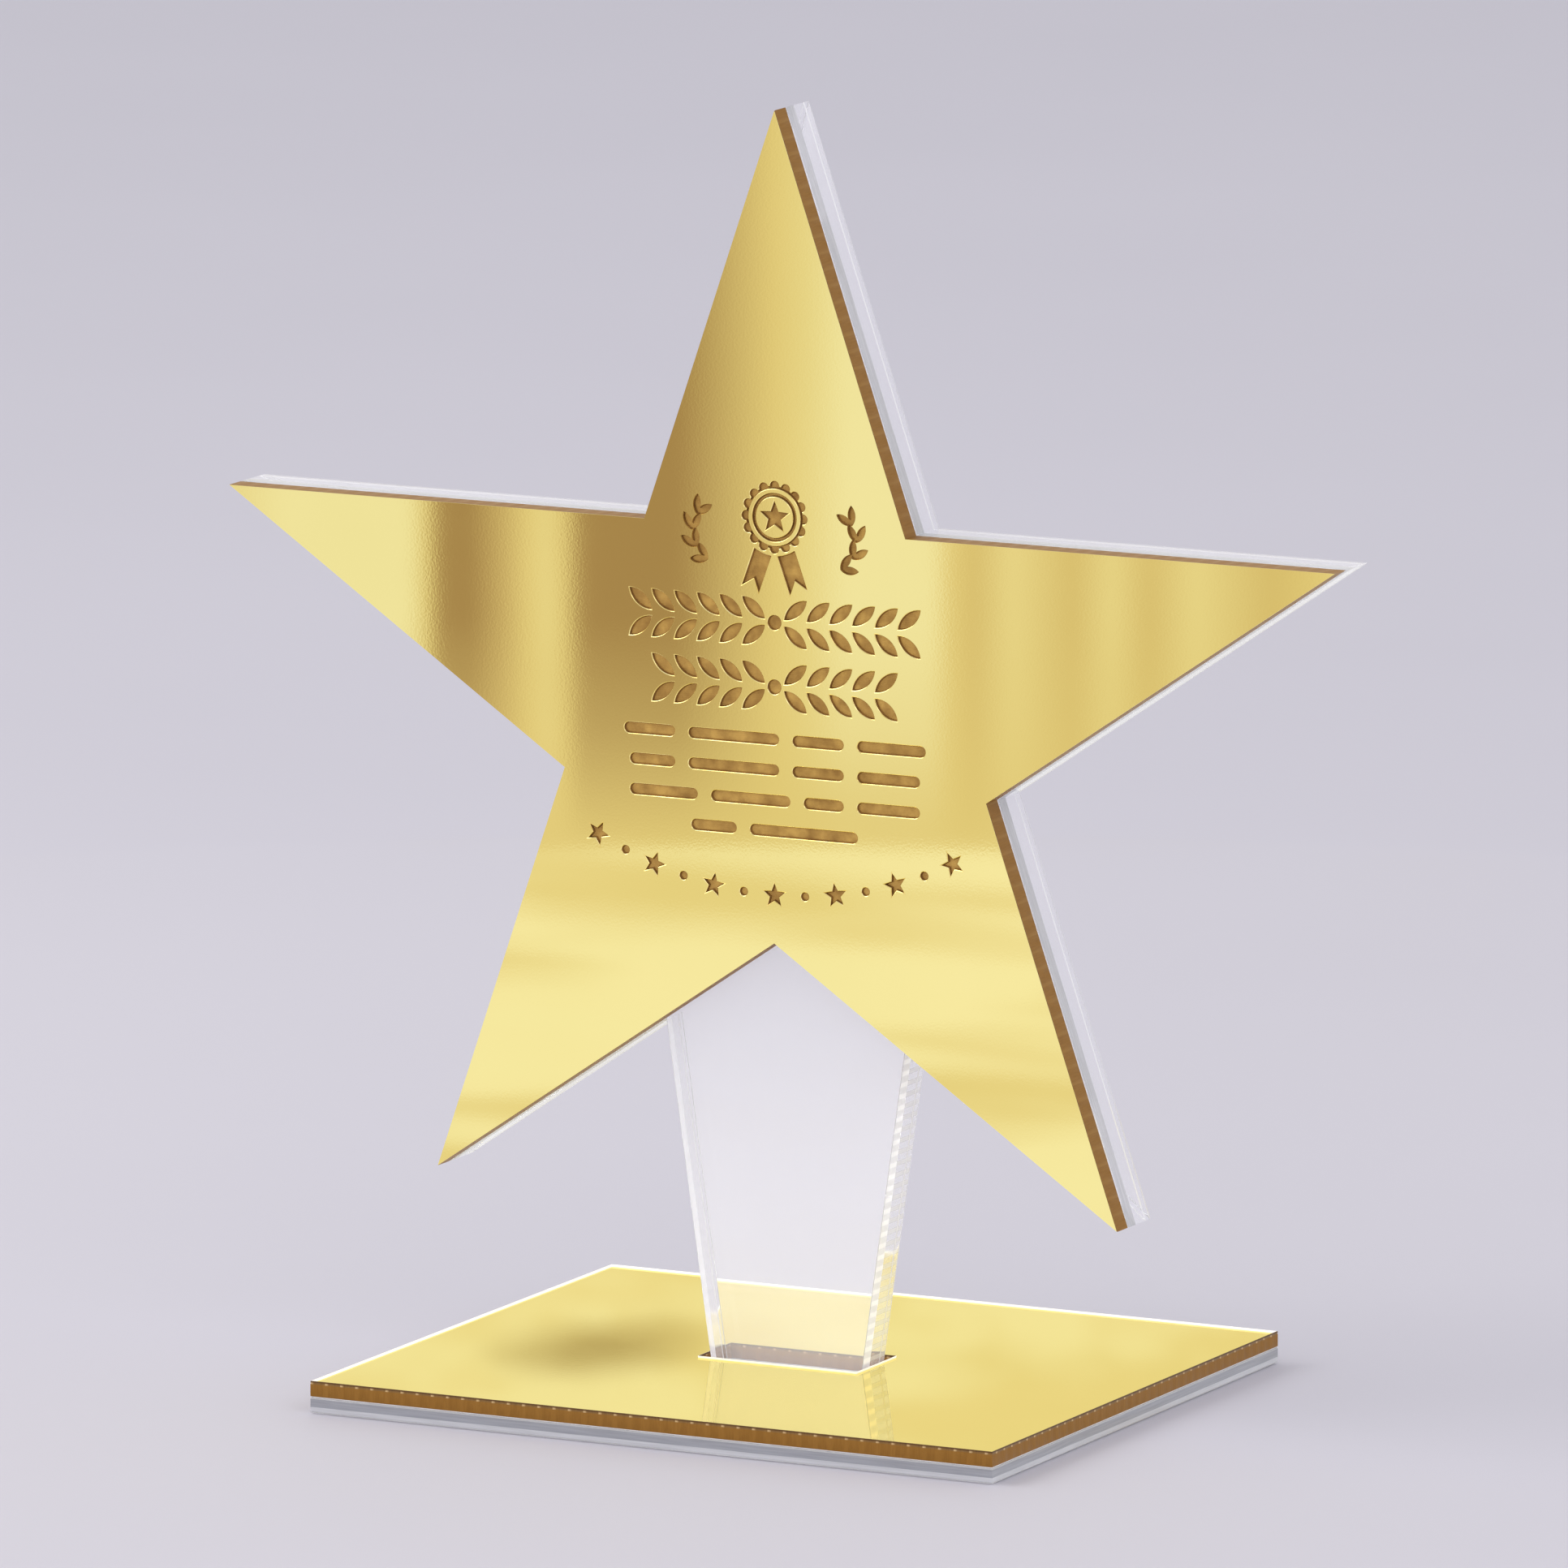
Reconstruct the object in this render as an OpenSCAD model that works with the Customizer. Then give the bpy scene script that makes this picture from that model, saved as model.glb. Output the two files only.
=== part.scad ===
// Free-standing star award: a mirror-gold star bonded to a clear star with a stem,
// whose tab drops into a slot in a two-layer base.
// Origin: centre of the underside of the base. Width along X, star face towards -Y, height along Z.

/* [Star] */
// Overall width of the star, across its two side points
star_w = 195; // [165:1:230]
// Overall height of the star, from its two feet to its top point
star_h = 174; // [150:1:205]
// Radius of the inner corners as a share of the radius of the points
star_waist = 0.382; // [0.372:0.002:0.42]
// Thickness of the mirror-gold front sheet
face_t = 4; // [3:0.5:5]
// Thickness of the clear sheet behind it, which is also the stem and the tab
back_t = 8; // [6:0.5:10]

/* [Stem] */
// Width of the stem where it leaves the base
stem_w = 27; // [26:0.5:32]
// How much each side of the stem moves out for each millimetre of height
stem_flare = 0.145; // [0.1:0.005:0.18]
// Free height from the top of the base to the lower inner corner of the star
stem_h = 68; // [52:1:85]
// Width of the tab below the stem's shoulders
tab_w = 22; // [18:0.5:24]

/* [Base] */
// Width of the base
base_w = 120; // [100:1:160]
// Depth of the base
base_d = 104; // [80:1:140]
// Thickness of the mirror-gold top sheet
base_face_t = 2.5; // [2:0.5:4]
// Thickness of the clear bottom sheet
base_plate_t = 2.5; // [2:0.5:6]
// Depth of the window in the gold sheet, front to back
window_d = 14; // [12:0.5:20]

/* [Fits] */
// Gap on each side of the stem in the window, at the top of the gold sheet
window_gap = 0.5; // [0.3:0.1:1.5]
// Gap all round the tab in its slot
tab_gap = 0.15; // [0.1:0.05:0.3]
// How far the tab's end stays above the underside of the base
tab_recess = 0.3; // [0.2:0.1:0.8]
// Thickness of the bonding film between the layers
film_t = 0.15; // [0.1:0.05:0.25]

/* [Engraving] */
// Depth of the engraving
engrave_depth = 0.5; // [0.3:0.1:1]
// Leaf pairs in each half of the upper garland
garland_upper_pairs = 6; // [3:1:7]
// Leaf pairs in each half of the lower garland
garland_lower_pairs = 5; // [3:1:7]
// Stars and dots along the curved row
arc_marks = 13; // [5:2:15]

/* [Hidden] */

gold = [0.86, 0.72, 0.36];
clear = [0.86, 0.89, 0.92, 0.4];
film = [0.80, 0.82, 0.84, 0.6];
points = 5;
cut_margin = 1;

// Star
star_rz = star_h / (1 + cos(180 / points));
star_rx = star_w / (2 * sin(72));
star_outline = star_points(star_rx, star_rz, star_waist);

// Levels above the underside of the base
film_z = base_plate_t;
base_face_z = film_z + film_t;
base_top_z = base_face_z + base_face_t;
crotch_z = base_top_z + stem_h;
star_z = crotch_z + star_waist * star_rz;

// Planes from front to back
back_front_y = -back_t / 2;
film_front_y = back_front_y - film_t;

// Stem, tab and the openings that take them
window_w = stem_w + 2 * window_gap;
slot_w = tab_w + 2 * tab_gap;
slot_d = back_t + 2 * tab_gap;
foot_half = stem_w / 2 - stem_flare * (base_top_z - base_plate_t);
stem_top_half = foot_half + stem_flare * (star_z - base_plate_t);

// Engraving, drawn for a star 195 mm wide and 174 mm high, about the star's centre
engrave_scale = min(star_w / 195, star_h / 174);
medal_z = 31.5;
medal_r = 5;
medal_lobes = 16;
medal_lobe_r = 0.8;
medal_band_r = 4.3;
medal_ring_r = 3.9;
medal_ring_w = 0.6;
medal_star_r = 2.7;
tail_angle = 20;
tail_w = 3.2;
tail_l = 12.5;
tail_notch = 2;
tail_gap_r = 6.2;
sprig_x = 14.5;
sprig_z = 28.5;
sprig_r = 5;
sprig_leaves = 4;
sprig_step = 32;
sprig_leaf = [3.2, 1.3];
sprig_lean = 28;
garland_z = [14.7, 4.4];
garland_pairs = [garland_upper_pairs, garland_lower_pairs];
garland_pitch = 4;
garland_leaf = [5.2, 2];
garland_lean = 40;
garland_gap = 0.5;
garland_berry_r = 1.2;
row_z = [-4, -8.9, -13.8, -18.7];
row_dashes = [[9, 16, 9, 12], [8, 16, 9, 11], [12, 14, 7, 11], [8, 19]];
row_h = 1.8;
row_gap = 2.4;
arc_r = 69;
arc_bottom_z = -29;
arc_step = 4.5;
arc_star_r = 2;
arc_dot_r = 0.7;

function star_points(rx, rz, waist) =
    [for (i = [0 : 2 * points - 1])
        let (a = 90 + 180 / points * i, r = i % 2 == 0 ? 1 : waist)
        [r * rx * cos(a), r * rz * sin(a)]];

function total(list, i = 0) = i < len(list) ? list[i] + total(list, i + 1) : 0;

function total_before(list, n) = total([for (i = [0 : 1 : n - 1]) list[i]]);

// A sheet cut to the 2D outline, which is drawn in X and Z; its rear face is at rear_y
module upright_sheet(rear_y, thickness) {
    translate([0, rear_y, 0])
        rotate([90, 0, 0])
            linear_extrude(height = thickness)
                children();
}

// A flat sheet of the base, with its underside at level z
module base_sheet(z, thickness, hole_w, hole_d) {
    translate([0, 0, z])
        linear_extrude(height = thickness)
            difference() {
                square([base_w, base_d], center = true);
                square([hole_w, hole_d], center = true);
            }
}

// A leaf along +X from the origin, pointed at both ends
module leaf(size) {
    r = (size.x * size.x / size.y + size.y) / 4;
    translate([size.x / 2, 0])
        intersection_for (side = [-1, 1])
            translate([0, side * (r - size.y / 2)])
                circle(r = r, $fn = 96);
}

// A dash with round ends, from x = 0 to x = length
module dash(length, height) {
    translate([height / 2, -height / 2])
        square([length - height, height]);
    for (x = [height / 2, length - height / 2])
        translate([x, 0])
            circle(d = height, $fn = 32);
}

// A scalloped medal with a ring, a star and two ribbon tails
module medal() {
    difference() {
        union() {
            circle(r = medal_r, $fn = 96);
            for (i = [0 : medal_lobes - 1])
                rotate(i * 360 / medal_lobes)
                    translate([medal_r, 0])
                        circle(r = medal_lobe_r, $fn = 32);
        }
        circle(r = medal_band_r + medal_ring_w / 2, $fn = 96);
    }
    difference() {
        circle(r = medal_ring_r, $fn = 96);
        circle(r = medal_ring_r - medal_ring_w, $fn = 96);
    }
    polygon(star_points(medal_star_r, medal_star_r, 0.42));
    difference() {
        for (side = [-1, 1])
            mirror([side > 0 ? 0 : 1, 0])
                rotate(tail_angle)
                    ribbon_tail();
        circle(r = tail_gap_r, $fn = 96);
    }
}

// One ribbon tail, hanging from the centre of the medal, with a notched end
module ribbon_tail() {
    polygon([
        [-tail_w / 2, 0],
        [tail_w / 2, 0],
        [tail_w / 2, -tail_l],
        [0, -tail_l + tail_notch],
        [-tail_w / 2, -tail_l]
    ]);
}

// A laurel sprig that curves around the medal on its +X side
module sprig() {
    for (i = [0 : sprig_leaves - 1], side = [-1, 1]) {
        a = sprig_step * (i - sprig_leaves / 2);
        rotate(a)
            translate([sprig_r, 0])
                rotate(90 + side * sprig_lean)
                    leaf(sprig_leaf);
    }
}

// A row of leaf pairs that lean outwards from a berry in the middle
module garland(pairs) {
    circle(r = garland_berry_r, $fn = 48);
    for (side = [-1, 1], i = [0 : pairs - 1], up = [-1, 1])
        mirror([side > 0 ? 0 : 1, 0])
            translate([garland_berry_r + garland_gap + garland_pitch * i, up * garland_gap])
                rotate(up * garland_lean)
                    leaf(garland_leaf);
}

// A centred row of dashes
module dash_row(lengths) {
    row_w = total(lengths) + row_gap * (len(lengths) - 1);
    for (i = [0 : len(lengths) - 1])
        translate([total_before(lengths, i) + row_gap * i - row_w / 2, 0])
            dash(lengths[i], row_h);
}

// A curved row of stars with a dot between each two
module arc_row() {
    middle = (arc_marks - 1) / 2;
    for (i = [0 : arc_marks - 1])
        translate([0, arc_bottom_z + arc_r])
            rotate(arc_step * (i - middle))
                translate([0, -arc_r])
                    if (i % 2 == 0)
                        polygon(star_points(arc_star_r, arc_star_r, 0.42));
                    else
                        circle(r = arc_dot_r, $fn = 32);
}

module engraving() {
    scale(engrave_scale) {
        translate([0, medal_z])
            medal();
        for (side = [-1, 1])
            mirror([side > 0 ? 0 : 1, 0])
                translate([sprig_x - sprig_r, sprig_z])
                    sprig();
        for (i = [0 : len(garland_z) - 1])
            translate([0, garland_z[i]])
                garland(garland_pairs[i]);
        for (i = [0 : len(row_z) - 1])
            translate([0, row_z[i]])
                dash_row(row_dashes[i]);
        arc_row();
    }
}

// Clear bottom sheet of the base, with the slot for the tab
module base_plate() {
    color(clear)
        base_sheet(0, base_plate_t, slot_w, slot_d);
}

// Bonding film between the two sheets of the base
module base_film() {
    color(film)
        base_sheet(film_z, film_t, window_w, window_d);
}

// Mirror-gold top sheet of the base, with the window around the stem
module base_face() {
    color(gold)
        base_sheet(base_face_z, base_face_t, window_w, window_d);
}

// Clear star, stem and tab, cut as one sheet; the stem's shoulders stand on the base plate
module back_plate() {
    color(clear)
        upright_sheet(back_t / 2, back_t) {
            translate([0, star_z])
                polygon(star_outline);
            polygon([
                [-foot_half, base_plate_t],
                [foot_half, base_plate_t],
                [stem_top_half, star_z],
                [-stem_top_half, star_z]
            ]);
            translate([-tab_w / 2, tab_recess])
                square([tab_w, base_plate_t]);
        }
}

// Bonding film between the clear star and the gold star
module star_film() {
    color(film)
        upright_sheet(back_front_y, film_t)
            translate([0, star_z])
                polygon(star_outline);
}

// Mirror-gold star with the engraving cut into its front
module star_face() {
    color(gold)
        difference() {
            upright_sheet(film_front_y, face_t)
                translate([0, star_z])
                    polygon(star_outline);
            upright_sheet(film_front_y - face_t + engrave_depth, engrave_depth + cut_margin)
                translate([0, star_z])
                    engraving();
        }
}

base_plate();
base_film();
base_face();
back_plate();
star_film();
star_face();
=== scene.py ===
"""The looks of a free-standing star award: a mirror-gold star bonded to a clear star with a stem,
whose tab drops into a two-layer base. Every sheet is drawn again around its CAD node, in detail.
Sheets are drawn in millimetres; objects, lamps and materials are in metres."""

import math
import random

import bpy
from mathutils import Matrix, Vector
from mathutils.geometry import delaunay_2d_cdt


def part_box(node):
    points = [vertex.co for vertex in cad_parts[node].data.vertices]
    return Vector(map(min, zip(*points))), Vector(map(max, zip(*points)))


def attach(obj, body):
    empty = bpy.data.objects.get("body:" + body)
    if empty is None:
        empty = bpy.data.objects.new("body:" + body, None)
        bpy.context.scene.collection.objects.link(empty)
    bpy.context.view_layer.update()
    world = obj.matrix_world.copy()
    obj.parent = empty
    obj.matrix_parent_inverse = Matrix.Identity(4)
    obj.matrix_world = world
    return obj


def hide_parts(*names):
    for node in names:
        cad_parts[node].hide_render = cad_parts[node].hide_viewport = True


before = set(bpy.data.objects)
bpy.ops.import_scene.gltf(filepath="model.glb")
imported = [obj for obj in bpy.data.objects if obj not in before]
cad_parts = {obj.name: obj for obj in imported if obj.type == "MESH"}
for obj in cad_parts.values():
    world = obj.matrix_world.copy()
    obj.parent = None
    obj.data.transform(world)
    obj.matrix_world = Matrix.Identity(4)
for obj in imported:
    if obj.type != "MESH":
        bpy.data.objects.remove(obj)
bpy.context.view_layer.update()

MM = 0.001
# A sheet's own axes: u to the right, v up or back, and w out of its show face
UPRIGHT = (Vector((1, 0, 0)), Vector((0, 0, 1)), Vector((0, -1, 0)))
FLAT = (Vector((1, 0, 0)), Vector((0, 1, 0)), Vector((0, 0, 1)))

# Reading the outlines of the CAD nodes
DECIMALS = 3
LEVEL_TOLERANCE = 0.004  # corners this close to a level lie on it
SHORTEST_SIDE = 0.05
STRAIGHT = 0.006  # sine of the turn below which a corner is dropped
ENGRAVING_MIN = 0.05  # the engraving's floor is at least this far below the front
TINY_LENGTH = 1e-9
TINY_AREA = 1e-12

# Drawing a wall along an outline
CORNER_CLEAR = 1.0  # no extra points this close to a corner
MITRE_LIMIT = 0.12  # keeps an inset short at a very sharp corner
FOLD_TRIES = 12
FOLD_STEP = 0.85  # the share that an inset shrinks to where it would fold over itself
FOLD_REACH = 9  # sides ahead that are tested for a crossing, in an outline that isn't small
SMALL_OUTLINE = 160
SHARP_ANGLE = math.radians(34)

# Filling a face: the triangulation's mode that keeps what is inside the outlines
KEEP_INSIDE = 1
MERGE_BELOW = 1e-6

# Marks along the cut edges, and the wander of the bonding films' edges
CUT_STEP = 0.34
GOLD_PITCH = 2.7
GOLD_RELIEF = 0.05
CLEAR_PITCH = 1.9
CLEAR_RELIEF = 0.006
MARK_COUNT = 997
MARK_HEIGHTS = (0.55, 1)
GLUE_STEP = 1.1
GLUE_RELIEF = 0.05
GLUE_WAVES = 4
GLUE_LENGTHS = (9, 31)
GLUE_PHASES = (0, 6.3)

# Edge profiles: steps of (inset, distance from the back or front face, share of the relief)
STAR_BACK = [(0.12, 0, 0), (0.0, 0.12, 1)]
STAR_FRONT = [(0.0, 0.42, 1), (0.02, 0.2, 0.7), (0.08, 0.06, 0), (0.22, 0, 0)]
ENGRAVING_FOOT = [(-0.15, 0, 0)]
ENGRAVING_RIM = [(-0.02, 0.1, 0), (0.02, 0.05, 0), (0.1, 0, 0)]
BOND_BACK = [(0.12, -0.02, 1), (0.05, 0.03, 1)]
BOND_FRONT = [(0.05, 0.03, 1), (0.12, 0, 1)]
CLEAR_BACK = [(0.22, 0, 0), (0.06, 0.07, 0.3), (0.0, 0.25, 1)]
CLEAR_FRONT = CLEAR_BACK[::-1]
BASE_BACK = [(0.08, 0, 0), (0.0, 0.1, 1)]
# A groove below the front, then the raised lip, whose inner side runs down to the gold face
BASE_FRONT = [(0.0, 0.52, 1), (0.05, 0.44, 0.2), (0.05, 0.3, 0.2), (0.0, 0.22, 0),
              (0.05, 0.06, 0), (0.12, 0, 0), (0.2, 0.01, 0), (0.4, 0.32, 0)]

# Bands on the clear edges, as shares of the sheet's thickness from its back
# The band next to the gold is grey: a painted reflection of the mirror's back paint
MIRRORED_PAINT_SHARE = 0.34  # this band is at the front
# Where the pale line of painted highlight runs
LINE_SHARE = (0.2, 0.25)
PALE_SHARE = 0.38


# ---------------------------------------------------------------- outlines

def local(point, axes):
    """A point in a sheet's own axes."""
    return tuple(point.dot(axis) / MM for axis in axes)


def levels(node, axes):
    """The lowest and highest level of a CAD node along a sheet's w axis."""
    found = [corner.dot(axes[2]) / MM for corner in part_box(node)]
    return min(found), max(found)


def sides(loop):
    """The two ends of each side of an outline."""
    return zip(loop, loop[1:] + loop[:1])


def turn(a, b, c):
    """The sine of the turn at b, on the way from a to c."""
    ux, uy = b[0] - a[0], b[1] - a[1]
    vx, vy = c[0] - b[0], c[1] - b[1]
    return (ux * vy - uy * vx) / max(math.hypot(ux, uy) * math.hypot(vx, vy), TINY_AREA)


def area(loop):
    return sum(a[0] * b[1] - b[0] * a[1] for a, b in sides(loop)) / 2


def cap_loops(node, axes, level):
    """The outlines of a CAD node's flat face at a level. The material is on the left of each."""
    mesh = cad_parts[node].data
    mesh.calc_loop_triangles()
    points = [local(v.co, axes) for v in mesh.vertices]
    edges = set()
    for triangle in mesh.loop_triangles:
        corners = [points[i] for i in triangle.vertices]
        if max(abs(c[2] - level) for c in corners) > LEVEL_TOLERANCE:
            continue
        keys = [(round(c[0], DECIMALS), round(c[1], DECIMALS)) for c in corners]
        if area(keys) < 0:
            keys.reverse()
        for edge in sides(keys):
            if (edge[1], edge[0]) in edges:
                edges.remove((edge[1], edge[0]))
            else:
                edges.add(edge)
    return [without_straights(loop) for loop in chained(edges)]


def chained(edges):
    """The outlines that a set of edges makes, each edge followed by one that starts at its end."""
    following = {}
    for start, end in sorted(edges):
        following.setdefault(start, []).append(end)
    loops = []
    while following:
        here, loop = min(following), []
        while here in following:
            loop.append(here)
            ends = following[here]
            onward = ends.pop()
            if not ends:
                del following[here]
            here = onward
        loops.append(loop)
    return loops


def without_straights(loop):
    """The outline without the points that add nothing: those on a straight side, or on another."""
    spaced = [here for i, here in enumerate(loop) if math.dist(here, loop[i - 1]) > SHORTEST_SIDE]
    kept = []
    for i, here in enumerate(spaced):
        if abs(turn(spaced[i - 1], here, spaced[(i + 1) % len(spaced)])) > STRAIGHT:
            kept.append(here)
    return kept


def inside(point, loop):
    odd = False
    for a, b in sides(loop):
        if (a[1] > point[1]) != (b[1] > point[1]):
            if point[0] < a[0] + (point[1] - a[1]) / (b[1] - a[1]) * (b[0] - a[0]):
                odd = not odd
    return odd


def families(loops):
    """For each outline, the outlines that it lies in, and those that lie just inside it."""
    holders = [[j for j, other in enumerate(loops) if j != i and inside(loop[0], other)]
               for i, loop in enumerate(loops)]
    children = {i: [] for i in range(len(loops))}
    for i, held in enumerate(holders):
        for j in held:
            if len(holders[j]) == len(held) - 1:
                children[j].append(i)
    return holders, children


def resample(loop, step):
    """The outline with extra points along its sides, kept clear of the corners, where insets meet."""
    points = []
    for a, b in sides(loop):
        points.append(a)
        length = math.dist(a, b)
        count = math.floor((length - 2 * CORNER_CLEAR) / step)
        for i in range(count + 1 if count > 0 else 0):
            share = (CORNER_CLEAR + (length - 2 * CORNER_CLEAR) * i / count) / length
            points.append((a[0] + (b[0] - a[0]) * share, a[1] + (b[1] - a[1]) * share))
    return points


def offset(loop, distances):
    """The outline with each point moved into the material by its own distance."""
    moved = []
    for i, here in enumerate(loop):
        before, after = loop[i - 1], loop[(i + 1) % len(loop)]
        a, b = left_of(before, here), left_of(here, after)
        share = distances[i] / max(1 + a[0] * b[0] + a[1] * b[1], MITRE_LIMIT)
        moved.append((here[0] + (a[0] + b[0]) * share, here[1] + (a[1] + b[1]) * share))
    return moved


def left_of(a, b):
    """The direction to the left of the way from a to b."""
    length = max(math.dist(a, b), TINY_LENGTH)
    return (a[1] - b[1]) / length, (b[0] - a[0]) / length


def folds(loop, moved):
    """True if a side of the moved outline runs against the side it came from, or crosses another."""
    for i in range(len(loop)):
        was = loop[i][0] - loop[i - 1][0], loop[i][1] - loop[i - 1][1]
        now = moved[i][0] - moved[i - 1][0], moved[i][1] - moved[i - 1][1]
        if was[0] * now[0] + was[1] * now[1] <= 0:
            return True
    count = len(moved)
    reach = count if count < SMALL_OUTLINE else FOLD_REACH
    for i in range(count):
        for j in range(i + 2, min(i + reach, i + count - 1)):
            if crossing(moved[i], moved[(i + 1) % count], moved[j % count], moved[(j + 1) % count]):
                return True
    return False


def crossing(a, b, c, d):
    """True if the line from a to b crosses the line from c to d."""
    return area([a, b, c]) * area([a, b, d]) < 0 and area([c, d, a]) * area([c, d, b]) < 0


def lengths_along(loop):
    along = [0]
    for a, b in sides(loop):
        along.append(along[-1] + math.dist(a, b))
    return along


def from_back(level, profile):
    """A profile with its distances turned into levels in front of the back face."""
    return [(inset, level + distance, share) for inset, distance, share in profile]


def from_front(level, profile):
    """A profile with its distances turned into levels behind the front face."""
    return [(inset, level - distance, share) for inset, distance, share in profile]


# ---------------------------------------------------------------- relief of the cut edges

def ridges(pitch, height, seed):
    """The marks that a laser leaves: rounded ridges at a pitch, each a little different."""
    draws = random.Random(seed)
    heights = [draws.uniform(*MARK_HEIGHTS) for _ in range(MARK_COUNT)]

    def relief(s):
        mark = heights[int(s / pitch) % len(heights)]
        return height * mark * (0.5 - 0.5 * math.cos(2 * math.pi * s / pitch)) ** 2

    return relief


def glue_line(height, seed):
    """The slow wander of a bonding film's edge, between 0 and the height."""
    draws = random.Random(seed)
    waves = [(draws.uniform(*GLUE_LENGTHS), draws.uniform(*GLUE_PHASES)) for _ in range(GLUE_WAVES)]

    def relief(s):
        wander = sum(math.sin(2 * math.pi * s / length + phase) for length, phase in waves)
        return height * (0.5 + wander / (2 * GLUE_WAVES))

    return relief


# ---------------------------------------------------------------- sheets

class Sheet:
    """Collects one sheet's faces in its own axes, in millimetres, and makes an object of them."""

    def __init__(self, name, axes):
        self.name = name
        self.axes = axes
        self.points = []
        self.faces = []
        self.materials = []

    def ring(self, loop, level):
        """Adds an outline's points at a level and returns their numbers."""
        first = len(self.points)
        self.points += [(u, v, level) for u, v in loop]
        return list(range(first, len(self.points)))

    def face(self, corners, uvs, material, smooth):
        if material not in self.materials:
            self.materials.append(material)
        self.faces.append((corners, uvs, self.materials.index(material), smooth))

    def wall(self, loop, profile, materials, relief=None):
        """Bands along an outline, through steps of (inset, level, share of the relief).
        Returns the first and the last ring."""
        along = lengths_along(loop)
        marks = [relief(s) if relief else 0 for s in along[:-1]]
        rings = []
        for inset, level, share in profile:
            for attempt in range(FOLD_TRIES):
                scale = FOLD_STEP ** attempt
                moved = offset(loop, [scale * (inset + share * m) for m in marks])
                if not folds(loop, moved):
                    break
            rings.append(self.ring(moved, level))
        for step, material in enumerate(materials):
            lower, upper = rings[step], rings[step + 1]
            low, high = profile[step][1], profile[step + 1][1]
            for i in range(len(loop)):
                j = (i + 1) % len(loop)
                s, t = along[i], along[i + 1]
                corners = (lower[i], lower[j], upper[j], upper[i])
                self.face(corners, ((s, low), (t, low), (t, high), (s, high)), material, True)
        return rings[0], rings[-1]

    def cap(self, rings, facing, material):
        """A flat face between rings, the first of them outermost; facing is 1 or -1 along w."""
        flat = [i for ring in rings for i in ring]
        places = {index: place for place, index in enumerate(flat)}
        spots = [Vector(self.points[i][:2]) for i in flat]
        outlines = [[places[i] for i in ring] for ring in rings]
        for outline in outlines:
            if area([tuple(spots[i]) for i in outline]) < 0:
                outline.reverse()
        made, _, triangles, came_from, _, within = delaunay_2d_cdt(
            spots, [], outlines, KEEP_INSIDE, MERGE_BELOW)
        sources = [came[0] if came else nearest(spot, spots) for spot, came in zip(made, came_from)]
        for triangle, holders in zip(triangles, within):
            corners = [flat[sources[i]] for i in triangle]
            if list(holders) != [0] or len(set(corners)) < len(corners):
                continue
            uvs = [self.points[i][:2] for i in corners]
            if area(uvs) * facing < 0:
                corners.reverse()
                uvs.reverse()
            self.face(tuple(corners), tuple(uvs), material, False)

    def build(self, body, node):
        """Makes the object, which rides on a body and stands for a CAD node."""
        u, v, w = self.axes
        mesh = bpy.data.meshes.new(self.name)
        verts = [(u * p[0] + v * p[1] + w * p[2]) * MM for p in self.points]
        mesh.from_pydata(verts, [], [face[0] for face in self.faces])
        uv_map = mesh.uv_layers.new(name="Edge")
        mesh.set_sharp_from_angle(angle=SHARP_ANGLE)
        for material in self.materials:
            mesh.materials.append(material)
        for polygon, (_, uvs, index, smooth) in zip(mesh.polygons, self.faces):
            polygon.material_index = index
            polygon.use_smooth = smooth
            for corner, uv in zip(polygon.loop_indices, uvs):
                uv_map.data[corner].uv = uv
        piece = bpy.data.objects.new(self.name, mesh)
        bpy.context.scene.collection.objects.link(piece)
        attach(piece, body)
        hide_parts(node)


def nearest(spot, spots):
    """The number of the spot closest to this one, for where two outlines just touch."""
    return min(range(len(spots)), key=lambda i: (spots[i] - spot).length)


# ---------------------------------------------------------------- materials

def gray(value):
    return (value, value, value)


WHITE = gray(1.0)


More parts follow.
